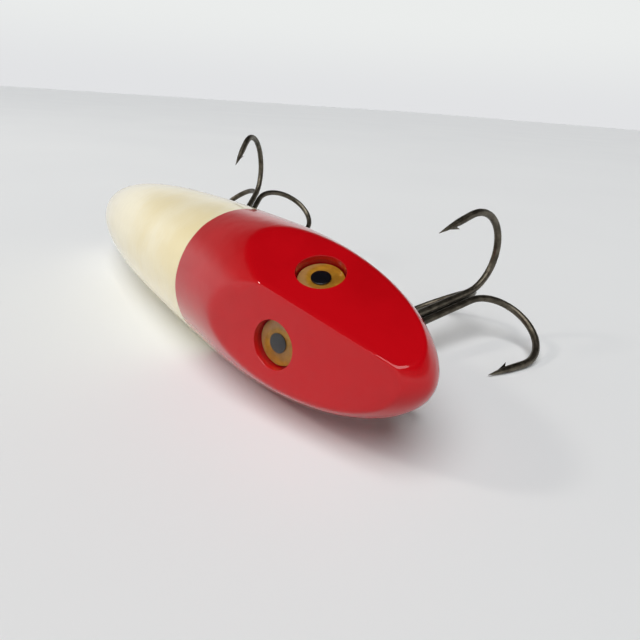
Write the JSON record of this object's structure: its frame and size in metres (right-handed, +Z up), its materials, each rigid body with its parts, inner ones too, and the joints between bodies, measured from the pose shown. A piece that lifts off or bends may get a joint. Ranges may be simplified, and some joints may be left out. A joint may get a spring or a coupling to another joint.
{
  "type": "wooden fishing lure",
  "caption": "Turned wooden wobbling lure with a ridge-cut two-facet head, set-in eyes and treble hooks that swing on belly screw eyes.",
  "frame": {"origin": "middle of the lure's bounding box, on the table that it rests on", "axes": "+X along the body towards the nose, +Z up from the table, +Y towards the side on which the treble hooks lie"},
  "size_m": [0.099, 0.0494, 0.0267],
  "materials": {
    "enamelled_wood": "gloss enamel, red head over a cream body",
    "eye_glass": "polished",
    "eye_amber": "amber paint",
    "pupil_black": "black enamel",
    "plated_brass": "dull nickel plate over brass",
    "bronzed_steel": "bronzed, worn",
    "solder": "dull solder"
  },
  "bodies": {
    "body": {"wooden_body": "enamelled_wood", "left_eye_glass": "eye_glass", "left_eye_pupil": "pupil_black", "left_eye_iris": "eye_amber", "left_eye_stem": "plated_brass", "right_eye_glass": "eye_glass", "right_eye_pupil": "pupil_black", "right_eye_iris": "eye_amber", "right_eye_stem": "plated_brass", "front_hanger_cup": "plated_brass", "front_hanger_screw_eye": "plated_brass", "rear_hanger_cup": "plated_brass", "rear_hanger_screw_eye": "plated_brass", "line_tie_washer": "plated_brass", "line_tie_screw_eye": "plated_brass", "tail_washer": "plated_brass", "tail_screw_eye": "plated_brass"},
    "front_treble": {"front_treble_double_hook": "bronzed_steel", "front_treble_single_hook": "bronzed_steel", "front_treble_solder": "solder"},
    "rear_treble": {"rear_treble_double_hook": "bronzed_steel", "rear_treble_single_hook": "bronzed_steel", "rear_treble_solder": "solder"}
  },
  "joints": [
    {"name": "front_treble_swing", "type": "hinge", "parent": "body", "child": "front_treble", "pos_m": [0.02864, -0.00468, 0.00454], "axis": [-0.0218, -0.1274, 0.9916], "range_deg": [-85, 78]},
    {"name": "rear_treble_swing", "type": "hinge", "parent": "body", "child": "rear_treble", "pos_m": [-0.01417, -0.00526, 0.00468], "axis": [-0.0188, -0.5168, 0.8559], "range_deg": [-90, 45]}
  ]
}
